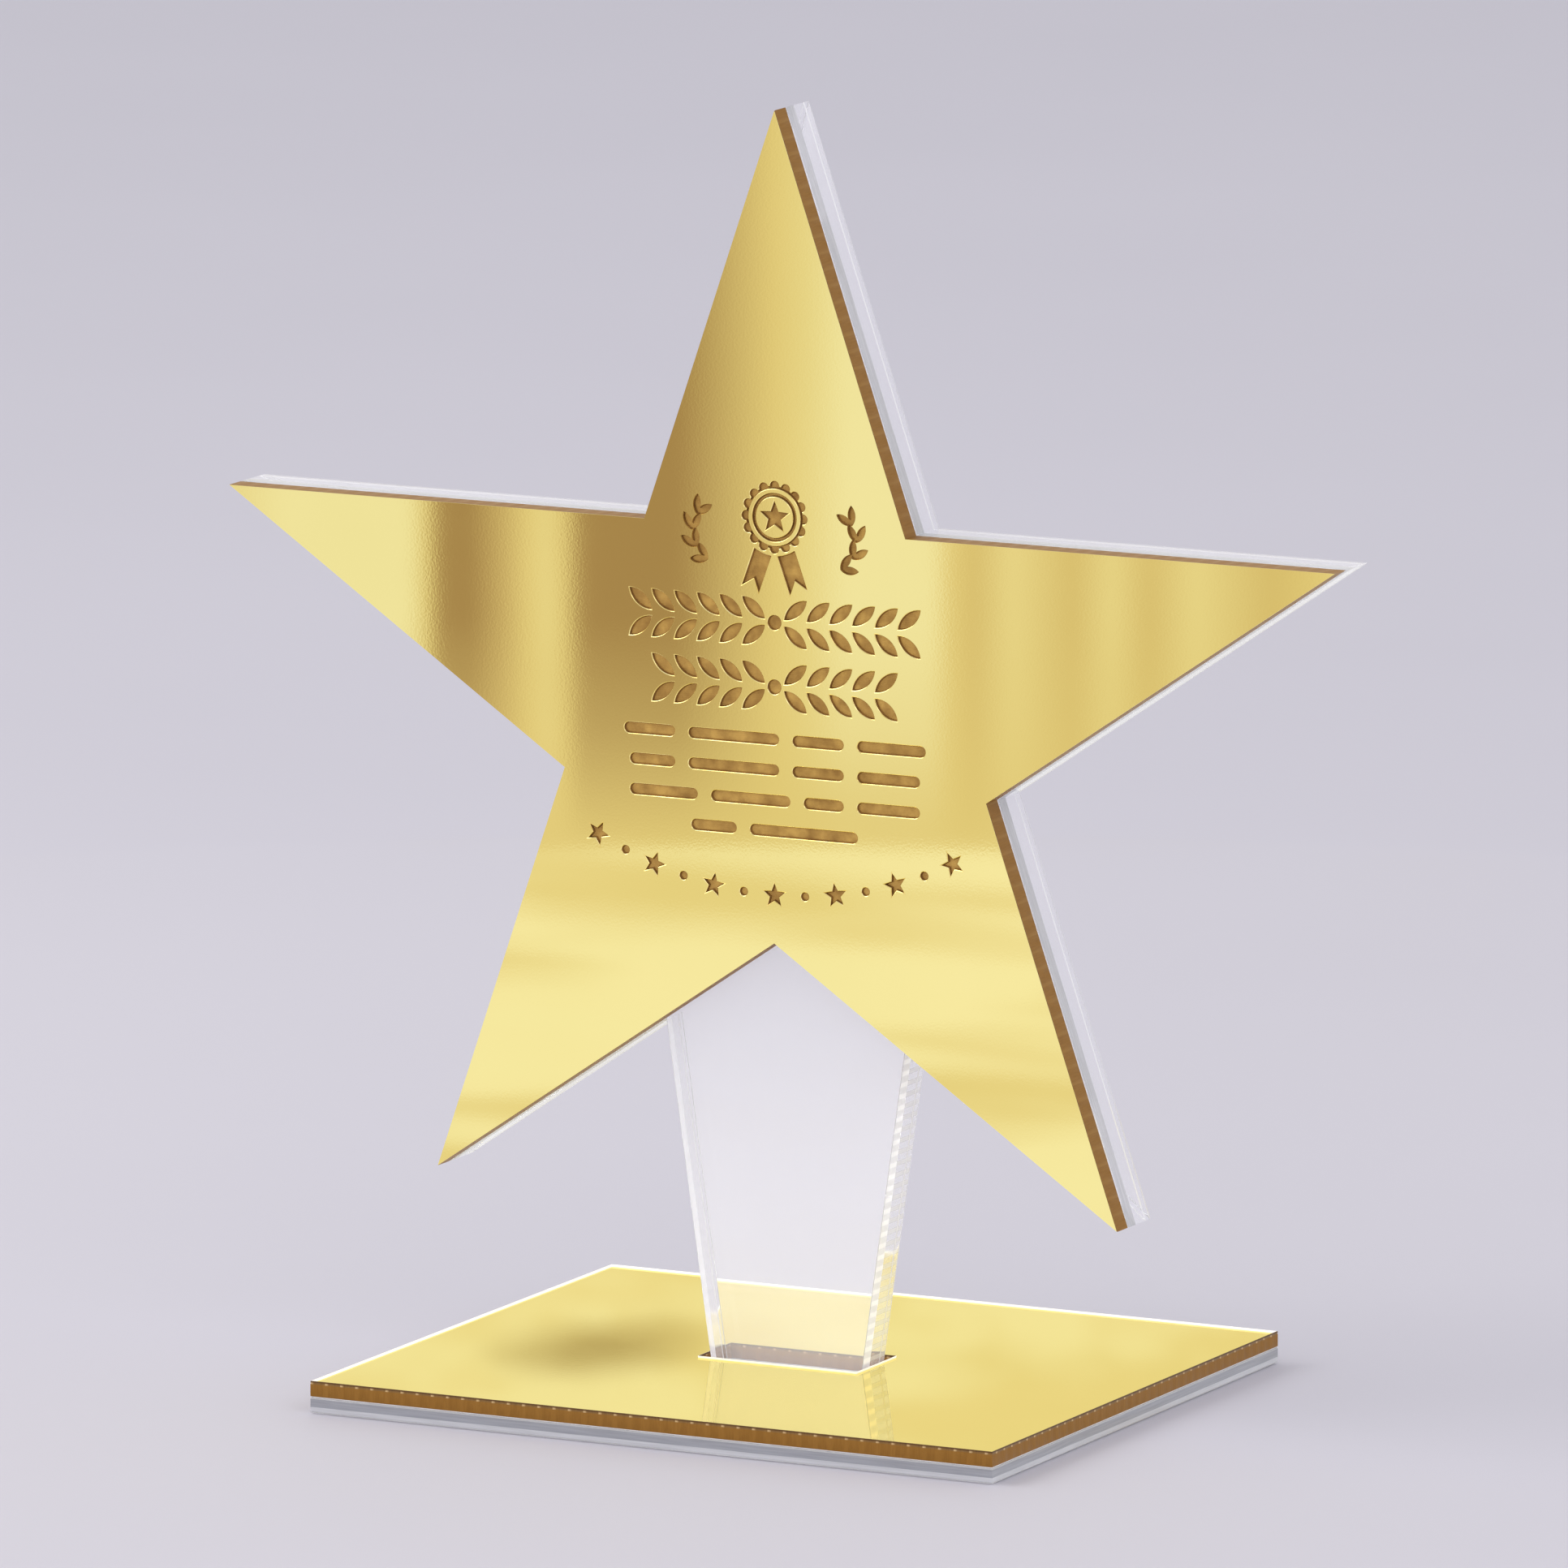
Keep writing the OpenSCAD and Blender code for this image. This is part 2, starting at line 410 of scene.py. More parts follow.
class Look:
    """A procedural material: one Principled shader, with nodes added one at a time."""

    def __init__(self, name, values):
        self.material = bpy.data.materials.new(name)
        self.material.use_nodes = True
        self.tree = self.material.node_tree
        self.shader = self.tree.nodes["Principled BSDF"]
        self.output = self.tree.nodes["Material Output"]
        for socket, value in values.items():
            self.set(socket, value)

    def put(self, socket, value):
        """Links a socket to a node's output, or sets its value."""
        if isinstance(value, bpy.types.NodeSocket):
            self.tree.links.new(value, socket)
        elif hasattr(value, "__len__") and len(value) == 3 and socket.type == "RGBA":
            socket.default_value = (*value, 1)
        else:
            socket.default_value = value

    def set(self, socket, value):
        """Sets or links one of the Principled shader's sockets."""
        self.put(self.shader.inputs[socket], value)

    def add(self, kind, inputs=None, **settings):
        node = self.tree.nodes.new("ShaderNode" + kind)
        for key, value in settings.items():
            setattr(node, key, value)
        for key, value in (inputs or {}).items():
            self.put(node.inputs[key], value)
        return node

    def place(self):
        """The point's x, y and z in the object's own space."""
        whole = self.add("TexCoord").outputs["Object"]
        parts = self.add("SeparateXYZ", {"Vector": whole}).outputs
        return parts["X"], parts["Y"], parts["Z"]

    def edge_map(self):
        """The point's way along its edge and its level, in millimetres."""
        return self.add("UVMap", uv_map="Edge").outputs["UV"]

    def within_pitch(self, edge, pitch):
        """How far the point is through its mark, from 0 to 1."""
        along = self.add("SeparateXYZ", {"Vector": edge}).outputs["X"]
        return self.math("FRACT", self.math("DIVIDE", along, pitch))

    def coordinates(self, scale=(1, 1, 1), turned=(0, 0, 0)):
        source = self.add("TexCoord").outputs["Object"]
        mapping = self.add("Mapping", {"Vector": source, "Scale": scale, "Rotation": turned})
        return mapping.outputs["Vector"]

    def noise(self, scale, detail, vector=None):
        where = vector or self.coordinates()
        inputs = {"Vector": where, "Scale": scale, "Detail": detail}
        return self.add("TexNoise", inputs).outputs["Fac"]

    def ramp(self, factor, stops):
        node = self.add("ValToRGB", {"Fac": factor})
        elements = node.color_ramp.elements
        while len(elements) < len(stops):
            elements.new(0.5)
        for element, (position, colour) in zip(elements, stops):
            element.position = position
            element.color = (*colour, 1)
        return node.outputs["Color"]

    def shades(self, factor, low, high):
        """The colours from low to high, spread over the middle of a noise."""
        return self.ramp(factor, [(0.3, low), (0.7, high)])

    def math(self, operation, a, b=0.0, c=0.0):
        node = self.add("Math", operation=operation)
        for socket, value in zip(node.inputs, (a, b, c)):
            self.put(socket, value)
        return node.outputs[0]

    def spread(self, factor, low, high):
        """A factor of 0 to 1 stretched to a range."""
        inputs = {"Value": factor, "To Min": low, "To Max": high}
        return self.add("MapRange", inputs).outputs["Result"]

    def mix(self, factor, a, b):
        """A mix of two colours: all a at 0 and all b at 1."""
        node = self.add("Mix", data_type="RGBA")
        self.put(node.inputs["Factor"], factor)
        self.put([s for s in node.inputs if s.name == "A" and s.type == "RGBA"][0], a)
        self.put([s for s in node.inputs if s.name == "B" and s.type == "RGBA"][0], b)
        return [s for s in node.outputs if s.type == "RGBA"][0]

    def bump(self, height, distance, strength, onto=None):
        inputs = {"Height": height, "Distance": distance, "Strength": strength}
        if onto:
            inputs["Normal"] = onto
        return self.add("Bump", inputs).outputs["Normal"]

    def surface(self, factor, first, second):
        """A mix of two shaders as the material's surface: all first at 0 and all second at 1."""
        mixed = self.add("MixShader", {0: factor, 1: first.outputs[0], 2: second.outputs[0]})
        self.put(self.output.inputs["Surface"], mixed.outputs[0])

    def lets_lamps_through(self, share):
        """Glass that lamps shine through, dimmed to a share."""
        clear = self.add("BsdfTransparent", {"Color": gray(share)})
        self.surface(self.add("LightPath").outputs["Is Shadow Ray"], self.shader, clear)


# The gold sheets

# How a mark shows along one pitch, from 0 to 1: white is the mark and black is the cut between
TICK_SHAPE = [(0.0, gray(1)), (0.1, gray(0.75)), (0.2, gray(0)), (0.93, gray(0)), (1.0, gray(1))]
BAR_SHAPE = [(0.0, gray(1)), (0.3, gray(1)), (0.42, gray(0)), (0.88, gray(0)), (1.0, gray(1))]


def gold_mirror():
    """Mirror acrylic: its face rolls a little and carries fine dust."""
    look = Look("gold_mirror_face", {"Metallic": 1.0, "Specular Tint": (1.0, 0.93, 0.6)})
    tone = look.noise(scale=16, detail=3)
    look.set("Base Color", look.shades(tone, (0.905, 0.795, 0.33), (0.945, 0.83, 0.365)))
    haze = look.noise(scale=60, detail=4)
    look.set("Roughness", look.spread(haze, 0.02, 0.05))
    rolling = look.bump(look.noise(scale=9, detail=1.5), distance=0.0004, strength=0.1)
    dust = look.noise(scale=2600, detail=2)
    look.set("Normal", look.bump(dust, distance=0.00001, strength=0.1, onto=rolling))
    return look.material


def gold_rim():
    """The bright, worn rim between a gold face and its cut edge."""
    look = Look("gold_rim", {"Metallic": 1.0})
    worn = look.noise(scale=420, detail=3)
    look.set("Base Color", look.shades(worn, (0.86, 0.66, 0.22), (1.0, 0.87, 0.42)))
    look.set("Roughness", look.spread(worn, 0.16, 0.3))
    grain = look.noise(scale=1800, detail=2)
    look.set("Normal", look.bump(grain, distance=0.00004, strength=0.3))
    return look.material


def cut_edge(name, low, high, tick, tick_share, gloss):
    """The brown edge of the mirror sheet, with paler ticks where the laser stepped."""
    look = Look(name, {"Specular IOR Level": gloss})
    edge = look.edge_map()
    bar = look.ramp(look.within_pitch(edge, GOLD_PITCH), TICK_SHAPE)
    flow = look.add("Mapping", {"Vector": edge, "Scale": (1.6, 0.16, 1.0)}).outputs["Vector"]
    streak = look.noise(scale=2.2, detail=4, vector=flow)
    body = look.ramp(streak, [(0.25, low), (0.75, high)])
    look.set("Base Color", look.mix(look.math("MULTIPLY", bar, tick_share), body, tick))
    look.set("Roughness", look.spread(streak, 0.3, 0.5))
    look.set("Normal", look.bump(streak, distance=0.00006, strength=0.5))
    return look.material


def engraved_floor():
    """The floor of the engraving, with the laser's scan lines and a clouded burn."""
    look = Look("engraved_floor", {"Metallic": 0.75})
    cloud = look.noise(scale=420, detail=5)
    look.set("Base Color", look.ramp(cloud, [(0.3, (0.36, 0.20, 0.055)), (0.5, (0.50, 0.30, 0.085)),
                                             (0.7, (0.66, 0.42, 0.12))]))
    look.set("Roughness", look.spread(cloud, 0.3, 0.5))
    scan_inputs = {"Vector": look.coordinates(), "Scale": 900, "Distortion": 1.5}
    scan = look.add("TexWave", scan_inputs, bands_direction="Z").outputs["Fac"]
    lines = look.bump(scan, distance=0.00002, strength=0.3)
    grain = look.noise(scale=2400, detail=3)
    look.set("Normal", look.bump(grain, distance=0.00003, strength=0.5, onto=lines))
    return look.material


def engraved_wall():
    """The steep, darker side of the engraving."""
    look = Look("engraved_wall", {"Metallic": 0.35})
    cloud = look.noise(scale=700, detail=3)
    look.set("Base Color", look.shades(cloud, (0.20, 0.098, 0.024), (0.36, 0.19, 0.05)))
    look.set("Roughness", look.spread(cloud, 0.28, 0.46))
    grain = look.noise(scale=2600, detail=2)
    look.set("Normal", look.bump(grain, distance=0.00003, strength=0.4))
    return look.material


def back_paint():
    """The silver-grey paint on the back of the mirror sheets."""
    look = Look("silver_back", {"Metallic": 0.55, "Specular IOR Level": 0.4})
    cloud = look.noise(scale=70, detail=5)
    look.set("Base Color", look.shades(cloud, (0.56, 0.565, 0.59), (0.68, 0.685, 0.71)))
    look.set("Roughness", look.spread(cloud, 0.3, 0.42))
    brushed = look.noise(scale=900, detail=3, vector=look.coordinates(scale=(1, 1, 0.08)))
    look.set("Normal", look.bump(brushed, distance=0.00002, strength=0.25))
    return look.material


def bond_edge():
    """The edge of the bonding film."""
    look = Look("bond_edge", {"Specular IOR Level": 0.5})
    cloud = look.noise(scale=300, detail=3)
    look.set("Base Color", look.shades(cloud, (0.80, 0.76, 0.75), (0.93, 0.90, 0.89)))
    look.set("Roughness", look.spread(cloud, 0.25, 0.4))
    return look.material


def lip_painted_highlight():
    """The raised lip that the laser melts up round the base's gold sheet, painted near-white with a
    faint glow: a painted highlight along the sheet's edges.
    """
    look = Look("lip_painted_highlight", {"Emission Color": (1.0, 0.99, 0.97), "Emission Strength": 0.35})
    cloud = look.noise(scale=350, detail=3)
    look.set("Base Color", look.shades(cloud, (0.92, 0.90, 0.86), (1.0, 0.99, 0.96)))
    look.set("Roughness", look.spread(cloud, 0.12, 0.28))
    look.set("Normal", look.bump(cloud, distance=0.00004, strength=0.4))
    return look.material


# The clear sheets

CLEAR = {"Transmission Weight": 0.84, "IOR": 1.49, "Base Color": (0.985, 0.985, 1.0)}
FACE_IOR = 1.38
# The colour and strength of the glow that clear faces and edges give off: painted light
PAINTED_GLOW = (0.97, 0.97, 1.0)
PAINTED_GLOW_HEIGHT = 0.075
PAINTED_GLOW_STRENGTH = (0.085, 0.035)  # at the underside of the base, and from PAINTED_GLOW_HEIGHT up
# A faint painted glow on every clear edge
EDGE_GLOW = 0.03

# Where the stem's cut edges are, and the white painted on their strip, with whiter bars of painted
# highlight: between bars, then on them
STEM_TOP = 0.073
STEM_HALF = 0.0216
STEM_RIGHT = (0.013, 0.0145)  # the middle and the reach of its right side, in x
STEM_WHITE = ((0.88, 0.88, 0.91), (0.98, 0.98, 1.0))
# The strip's painted glow, between bars and then on them
STEM_GLOW = (0.16, 0.27)
BAR_GAP = 0.1  # how strong a bar still is between two bars


def clear_face():
    """Clear sheet with a faint painted glow over it, a little stronger low down, as on the stem:
    painted light.
    """
    look = Look("clear_face", {**CLEAR, "IOR": FACE_IOR, "Emission Color": PAINTED_GLOW})
    haze = look.noise(scale=45, detail=4)
    look.set("Roughness", look.spread(haze, 0.0, 0.035))
    rolling = look.noise(scale=14, detail=1.5)
    look.set("Normal", look.bump(rolling, distance=0.0004, strength=0.12))
    _, _, z = look.place()
    height = look.math("DIVIDE", z, PAINTED_GLOW_HEIGHT)
    look.set("Emission Strength", look.spread(height, *PAINTED_GLOW_STRENGTH))
    look.lets_lamps_through(0.93)
    return look.material


def on_stem(look, middle, reach):
    """1 on the part of the stem within reach of the middle, in x, and 0 elsewhere."""
    x, _, z = look.place()
    near = look.math("COMPARE", x, middle, reach)
    return look.math("MULTIPLY", near, look.math("LESS_THAN", z, STEM_TOP))


def stem_bar_highlights(look, edge):
    """The laser's bars, made to show on the right side of the stem only: painted highlights."""
    bar = look.ramp(look.within_pitch(edge, CLEAR_PITCH), BAR_SHAPE)
    return look.math("MULTIPLY", on_stem(look, *STEM_RIGHT), look.spread(bar, BAR_GAP, 1.0))


def clear_edge(name, low, high, milky, ior, barred=None, white_stem=False):
    """The cut edge of a clear sheet, with lines that run along it, and a faint painted glow. On the
    stem, it has bars of the milkiness that barred gives, and with white_stem it is white instead,
    with whiter, more strongly glowing bars; the stem's white, its bars and their glow are painted
    highlight."""
    look = Look(name, {**CLEAR, "IOR": ior, "Emission Color": PAINTED_GLOW})
    edge = look.edge_map()
    flow = look.add("Mapping", {"Vector": edge, "Scale": (0.05, 1.3, 1.0)}).outputs["Vector"]
    streak = look.noise(scale=2.4, detail=4, vector=flow)
    colour = look.shades(streak, low, high)
    clearness = 1 - milky
    glow = EDGE_GLOW
    if white_stem:
        bar = stem_bar_highlights(look, edge)
        stem = on_stem(look, 0.0, STEM_HALF)
        colour = look.mix(stem, colour, look.mix(bar, *STEM_WHITE))
        glow = look.math("ADD", look.math("MULTIPLY", stem, look.spread(bar, *STEM_GLOW)), EDGE_GLOW)
    if barred:
        bar = stem_bar_highlights(look, edge)
        colour = look.mix(bar, colour, WHITE)
        clearness = look.spread(bar, 1 - milky, 1 - barred)
    look.set("Base Color", colour)
    look.set("Transmission Weight", clearness)
    look.set("Emission Strength", glow)
    look.set("Roughness", look.spread(streak, 0.04, 0.2))
    look.set("Normal", look.bump(streak, distance=0.00001, strength=0.2))
    look.lets_lamps_through(0.88)
    return look.material


def clear_bevel():
    """The narrow bevel between a clear face and its cut edge, a little worn."""
    look = Look("clear_bevel", {**CLEAR, "Transmission Weight": 0.6})
    worn = look.noise(scale=500, detail=3)
    look.set("Roughness", look.spread(worn, 0.08, 0.25))
    look.set("Base Color", look.shades(worn, (0.94, 0.94, 0.97), WHITE))
    look.lets_lamps_through(0.85)
    return look.material


GOLD = gold_mirror()
RIM = gold_rim()
STAR_EDGE = cut_edge("star_edge", low=(0.285, 0.137, 0.029), high=(0.35, 0.173, 0.04),
                     tick=(0.42, 0.23, 0.06), tick_share=0.4, gloss=0.08)
BASE_EDGE = cut_edge("base_edge", low=(0.28, 0.128, 0.024), high=(0.335, 0.16, 0.032),
                     tick=(0.38, 0.19, 0.045), tick_share=0.12, gloss=0.08)
# A dark band on the shoulder just below the front: painted shade where the edge turns away
SHOULDER_SHADE = cut_edge("shoulder_painted_shade", low=(0.09, 0.04, 0.01), high=(0.15, 0.07, 0.018),
                     tick=(0.2, 0.1, 0.03), tick_share=0.2, gloss=0.25)
EDGE_DASH = cut_edge("edge_dash", low=(0.22, 0.11, 0.028), high=(0.30, 0.16, 0.045),
                     tick=(0.85, 0.6, 0.3), tick_share=0.7, gloss=0.25)
FLOOR_CUT = engraved_floor()
WALL_CUT = engraved_wall()
SILVER = back_paint()
BOND = bond_edge()
# The lip's near-white colour and glow are a painted highlight
LIP_HIGHLIGHT = lip_painted_highlight()
FACE = clear_face()
# Grey band next to the gold: a painted reflection of the back paint; on the stem it is painted white
# instead
MIRRORED_PAINT_EDGE = clear_edge("mirrored_paint_edge", low=(0.54, 0.54, 0.565), high=(0.68, 0.68, 0.705),
                         milky=0.8, ior=1.49, white_stem=True)
EDGE = clear_edge("clear_edge", low=(0.96, 0.96, 0.98), high=(0.99, 0.99, 1.0),
                  milky=0.1, ior=1.06, barred=0.55)
# A pale line across the edge: painted highlight
EDGE_HIGHLIGHT_LINE = clear_edge("edge_highlight_line", low=(0.97, 0.97, 0.99), high=WHITE, milky=0.75, ior=1.2)
# The base plate's edge: painted shade above, painted highlight below
PLATE_SHADE = clear_edge("plate_painted_shade", low=(0.33, 0.335, 0.38), high=(0.42, 0.43, 0.485),
                        milky=0.7, ior=1.49)
PLATE_HIGHLIGHT = clear_edge("plate_painted_highlight", low=(0.65, 0.655, 0.70), high=(0.80, 0.805, 0.85),
                        milky=0.7, ior=1.49)
BEVEL = clear_bevel()


# ---------------------------------------------------------------- the six sheets

def add_gold_star():
    rear, front = levels("star_face", UPRIGHT)
    loops = cap_loops("star_face", UPRIGHT, front)
    holders, children = families(loops)
    floor = floor_level("star_face", UPRIGHT, front)
    marks = ridges(GOLD_PITCH, GOLD_RELIEF, seed=3)
    edge_profile = from_back(rear, STAR_BACK) + from_front(front, STAR_FRONT)
    # The dark band below the front rim is painted shade on the shoulder
    edge_looks = [STAR_EDGE, STAR_EDGE, STAR_EDGE, SHOULDER_SHADE, RIM]
    cut_profile = from_back(floor, ENGRAVING_FOOT) + from_front(front, ENGRAVING_RIM)
    sheet = Sheet("gold_star", UPRIGHT)
    tops, floors = {}, {}
    for i, loop in enumerate(loops):
        if not holders[i]:
            cut = resample(loop, CUT_STEP)
            bottom, tops[i] = sheet.wall(cut, edge_profile, edge_looks, marks)
            sheet.cap([bottom], -1, SILVER)
        else:
            floors[i], tops[i] = sheet.wall(loop, cut_profile, [WALL_CUT, RIM, RIM])
    for i, loop in enumerate(loops):
        if area(loop) > 0:
            sheet.cap([tops[i]] + [tops[j] for j in children[i]], 1, GOLD)
        else:
            sheet.cap([floors[i]] + [floors[j] for j in children[i]], 1, FLOOR_CUT)
    sheet.build("star", "star_face")


def floor_level(node, axes, front):
    """The level of the engraving's floor, just below the front."""
    found = {round(local(v.co, axes)[2], DECIMALS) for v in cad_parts[node].data.vertices}
    return max(level for level in found if level < front - ENGRAVING_MIN)


def add_plain_sheet(sheet, loops, profile, edge_looks, marks, face_looks):
    """Walls along the outlines of a sheet without engraving, then its back and its front face."""
    bottoms, tops = [], []
    for loop in loops:
        bottom, top = sheet.wall(loop, profile, edge_looks, marks)
        bottoms.append(bottom)
        tops.append(top)
    sheet.cap(bottoms, -1, face_looks[0])
    sheet.cap(tops, 1, face_looks[1])


def add_bond(name, node, axes, body, seed):
    """A bonding film, set back from the sheets' edges and wavy along them."""
    low, high = levels(node, axes)
    loops = [resample(loop, GLUE_STEP) for loop in cap_loops(node, axes, high)]
    profile = from_back(low, BOND_BACK) + from_front(high, BOND_FRONT)
    sheet = Sheet(name, axes)
    add_plain_sheet(sheet, loops, profile, [SILVER, BOND, BOND], glue_line(GLUE_RELIEF, seed),
                    [SILVER, SILVER])
    sheet.build(body, node)


def star_edge_bands(low, high):
    """Levels and looks of the clear star's edge: grey next to the gold, a painted reflection of the
    back paint, and one pale line of painted highlight.
    """
    thick = high - low
    line_low, line_high = (low + share * thick for share in LINE_SHARE)
    return [line_low, line_high, high - MIRRORED_PAINT_SHARE * thick], [EDGE, EDGE_HIGHLIGHT_LINE, EDGE, MIRRORED_PAINT_EDGE]


def plate_edge_bands(low, high):
    """Levels and looks of the base plate's edge: grey above, painted shade, and paler below, a
    painted highlight.
    """
    return [low + PALE_SHARE * (high - low)], [PLATE_HIGHLIGHT, PLATE_SHADE]


def add_clear(name, node, axes, body, seed, bands):
    """A clear sheet with laser marks round its edge and a small polished bevel on each side."""
    low, high = levels(node, axes)
    changes, band_looks = bands(low, high)
    loops = [resample(loop, CUT_STEP) for loop in cap_loops(node, axes, high)]
    profile = from_back(low, CLEAR_BACK) + [(0.0, level, 1) for level in changes]
    profile += from_front(high, CLEAR_FRONT)
    sheet = Sheet(name, axes)
    add_plain_sheet(sheet, loops, profile, [BEVEL, BEVEL, *band_looks, BEVEL, BEVEL],
                    ridges(CLEAR_PITCH, CLEAR_RELIEF, seed), [FACE, FACE])
    sheet.build(body, node)


def add_gold_base():
    low, high = levels("base_face", FLAT)
    loops = [resample(loop, CUT_STEP) for loop in cap_loops("base_face", FLAT, high)]
    profile = from_back(low, BASE_BACK) + from_front(high, BASE_FRONT)
    # From the back: the cut edge, the groove, painted shade on the shoulder, then the lip, painted as
    # a highlight
    edge_looks = [BASE_EDGE] * 2 + [EDGE_DASH] * 3 + [SHOULDER_SHADE] * 2 + [LIP_HIGHLIGHT] * 2
    sheet = Sheet("gold_base", FLAT)
    add_plain_sheet(sheet, loops, profile, edge_looks, ridges(GOLD_PITCH, GOLD_RELIEF, seed=11),
                    [SILVER, GOLD])
    sheet.build("base", "base_face")


add_gold_star()
add_bond("star_bond", "star_film", UPRIGHT, "star", seed=5)
add_clear("clear_star", "back_plate", UPRIGHT, "star", seed=7, bands=star_edge_bands)
add_gold_base()
add_bond("base_bond", "base_film", FLAT, "base", seed=9)
add_clear("clear_base", "base_plate", FLAT, "base", seed=13, bands=plate_edge_bands)


# ---------------------------------------------------------------- camera and lamps

VIEW_AZIMUTH = math.radians(26.7)
VIEW_ELEVATION = math.radians(10)
VIEW_DISTANCE = 3.0
VIEW_LENS = 435.3
SENSOR_WIDTH = 36
NEAREST_SEEN = 0.05
FURTHEST_SEEN = 50
AIM_HEIGHT = 0.0975
AIM_SHIFT = -0.0021
LAMP_AIM = Vector((0, 0, 0.1))


def direction(azimuth, elevation):
    """Out from the object; azimuth 0 is in front of it and 90 degrees to its right."""
    flat = math.cos(elevation)
    return Vector((math.sin(azimuth) * flat, -math.cos(azimuth) * flat, math.sin(elevation)))


def look_back(thing, target, out, distance):
    """Puts a camera or lamp at a distance out from a target, facing it."""
    thing.location = target + out * distance
    thing.rotation_mode = "QUATERNION"
    thing.rotation_quaternion = (-out).to_track_quat("-Z", "Y")
    bpy.context.scene.collection.objects.link(thing)


def add_camera():
    data = bpy.data.cameras.new("camera")
    data.lens = VIEW_LENS
    data.sensor_width = SENSOR_WIDTH
    data.clip_start = NEAREST_SEEN
    data.clip_end = FURTHEST_SEEN
    camera = bpy.data.objects.new("camera", data)
    right = Vector((math.cos(VIEW_AZIMUTH), math.sin(VIEW_AZIMUTH), 0))
    aim = Vector((0, 0, AIM_HEIGHT)) + right * AIM_SHIFT
    look_back(camera, aim, direction(VIEW_AZIMUTH, VIEW_ELEVATION), VIEW_DISTANCE)
    bpy.context.scene.camera = camera


def add_lamp(name, azimuth, elevation, distance, size, power, colour):
    """A rectangular lamp; its angles are in degrees."""
    data = bpy.data.lights.new(name, "AREA")
    data.shape = "RECTANGLE"
    data.size, data.size_y = size
    data.energy = power
    data.color = colour
    lamp = bpy.data.objects.new(name, data)
    look_back(lamp, LAMP_AIM, direction(math.radians(azimuth), math.radians(elevation)), distance)


# ---------------------------------------------------------------- floor, reflector and world

FLOOR_RADIUS = 6.0
FLOOR_SIDES = 96
FLOOR_LEVEL = -0.0002

WORLD_COLOUR = (0.97, 0.97, 1.0, 1)
WORLD_STRENGTH = 0.8

# What the gold mirrors: a lit wall round the object, which only reflections see. The star mirrors
# the part behind the camera, which has darker upright bands. The base mirrors the part behind the
# star, which is cloudy and has one dark blot with a torn outline.
WALL_RADIUS = 0.5
WALL_HEIGHT = 0.36
WALL_STEP = 3
WALL_GLOW = 0.95
WALL_FOOT = [(0.0, gray(1)), (0.06, gray(0.35)), (0.12, gray(0))]  # a milder foot, by share of height
BLOT_ANGLE = -149.2
BLOT_HEIGHT = 0.1065
BLOT_SIZE = (2.5, 0.0055)  # degrees round the wall, and metres up
BLOT_RAGGED = 1.5
BLOT_REACH = 3.0
BLOT_FADE = [(0.3, gray(1)), (0.62, gray(0))]
PALE = (1.0, 1.0, 1.0)
SOFT = (0.91, 0.85, 0.70)
MILD = (0.86, 0.76, 0.56)
DIM = (0.77, 0.65, 0.45)
WARM = (0.66, 0.53, 0.38)
DEEP = (0.43, 0.30, 0.20)
DUSK = (0.52, 0.44, 0.33)
# Each band is an angle round the wall, in degrees from the middle of the reflection, and a colour
BAND_SPAN = 24.0
BANDS = [(-12, MILD), (-9.9, PALE), (-7.3, PALE), (-6.95, MILD), (-6.65, DEEP), (-6.0, DEEP),
         (-5.3, WARM), (-4.8, MILD), (-4.4, SOFT), (-4.05, MILD), (-3.65, DEEP), (-1.6, DEEP),
         (0.4, MILD), (1.1, SOFT), (1.9, PALE), (3.7, PALE), (4.1, MILD), (4.6, DIM), (5.4, SOFT),
         (6.7, DIM), (7.5, SOFT), (8.3, DIM), (9.3, SOFT), (10.9, DIM), (12, MILD)]


def stage_object(name, verts, faces, material):
    mesh = bpy.data.meshes.new(name)
    mesh.from_pydata(verts, [], faces)
    mesh.materials.append(material)
    stage = bpy.data.objects.new(name, mesh)
    bpy.context.scene.collection.objects.link(stage)
    return stage


def floor_look():
    """A pale floor, which the gold mirrors as brighter and a little smeared."""
    look = Look("pale_floor", {"Roughness": 0.65, "Specular IOR Level": 0.15})
    cloud = look.noise(scale=3, detail=3)
    look.set("Base Color", look.shades(cloud, (0.635, 0.615, 0.68), (0.655, 0.635, 0.70)))
    across = look.coordinates(scale=(1, 2.2, 1), turned=(0, 0, VIEW_AZIMUTH))
    smear = look.noise(scale=7, detail=2, vector=across)
    glow = look.ramp(smear, [(0.36, (0.86, 0.78, 0.60)), (0.52, (1.0, 0.99, 0.98)), (0.7, WHITE)])
    shine = look.add("Emission", {"Color": glow, "Strength": 1.0})
    rays = look.add("LightPath").outputs
    seen_directly = look.math("SUBTRACT", 1.0, rays["Is Transmission Ray"])
    mirrored = look.math("MULTIPLY", rays["Is Glossy Ray"], seen_directly)
    look.surface(mirrored, look.shader, shine)
    return look.material


def add_floor():
    ring = [i * 2 * math.pi / FLOOR_SIDES for i in range(FLOOR_SIDES)]
    verts = [(FLOOR_RADIUS * math.cos(a), FLOOR_RADIUS * math.sin(a), FLOOR_LEVEL) for a in ring]
    stage_object("floor", verts, [tuple(range(FLOOR_SIDES))], floor_look())


def wall_front(look, degrees, z):
    """The bands that the star mirrors, with a plain foot below them."""
    turned = look.math("ADD", degrees, math.degrees(VIEW_AZIMUTH))
    repeated = look.math("FRACT", look.math("ADD", look.math("DIVIDE", turned, BAND_SPAN), 0.5))
    bands = look.ramp(repeated, [(angle / BAND_SPAN + 0.5, colour) for angle, colour in BANDS])
    foot = look.ramp(look.math("DIVIDE", z, WALL_HEIGHT), WALL_FOOT)
    return look.mix(foot, bands, MILD)


